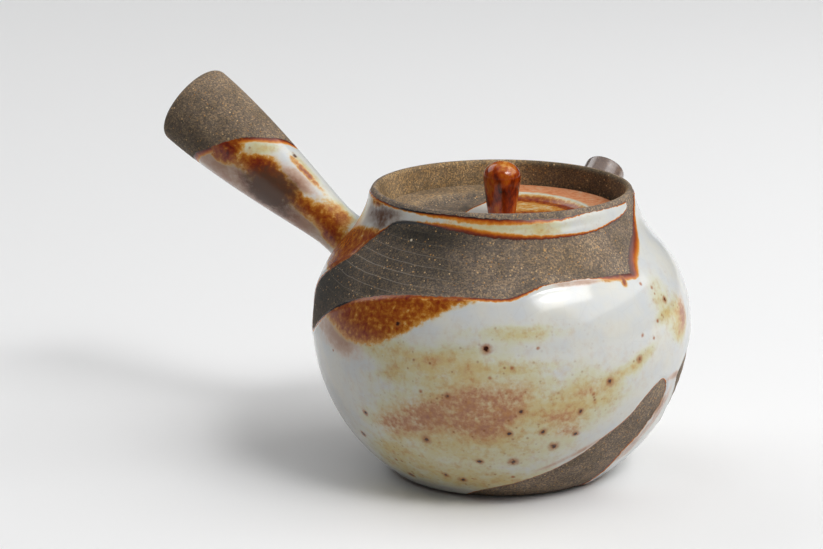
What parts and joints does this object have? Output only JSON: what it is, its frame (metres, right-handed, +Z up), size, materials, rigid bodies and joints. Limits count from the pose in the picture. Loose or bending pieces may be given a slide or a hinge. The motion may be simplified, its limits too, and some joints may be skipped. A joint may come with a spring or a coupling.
{
  "type": "kyusu teapot",
  "caption": "Side-handled Japanese stoneware teapot with a lift-off inset lid, a hollow luted handle and a short spout backed by a clay strainer.",
  "frame": {"origin": "centre of the flat base, on the table", "axes": "+Z up along the pot's axis, -X towards the end of the handle, +Y towards the spout"},
  "size_m": [0.1671, 0.1227, 0.1066],
  "materials": {
    "pot_glaze": "crackled white glaze with rust edges over bare dark stoneware",
    "handle_glaze": "rust and white glaze, bare clay at the end",
    "lid_glaze": "thin brown glaze over bare clay",
    "knob_glaze": "glossy rust-brown glaze",
    "bare_clay": "unglazed dark stoneware"
  },
  "bodies": {
    "pot": {"pot_body": "pot_glaze", "spout": "bare_clay", "strainer": "bare_clay", "handle": "handle_glaze"},
    "lid": {"lid": "lid_glaze", "lid_knob": "knob_glaze"}
  },
  "joints": [
    {"name": "lid_lift", "type": "slide", "parent": "pot", "child": "lid", "axis": [0, 0, 1], "range_m": [0, 0.06]}
  ]
}
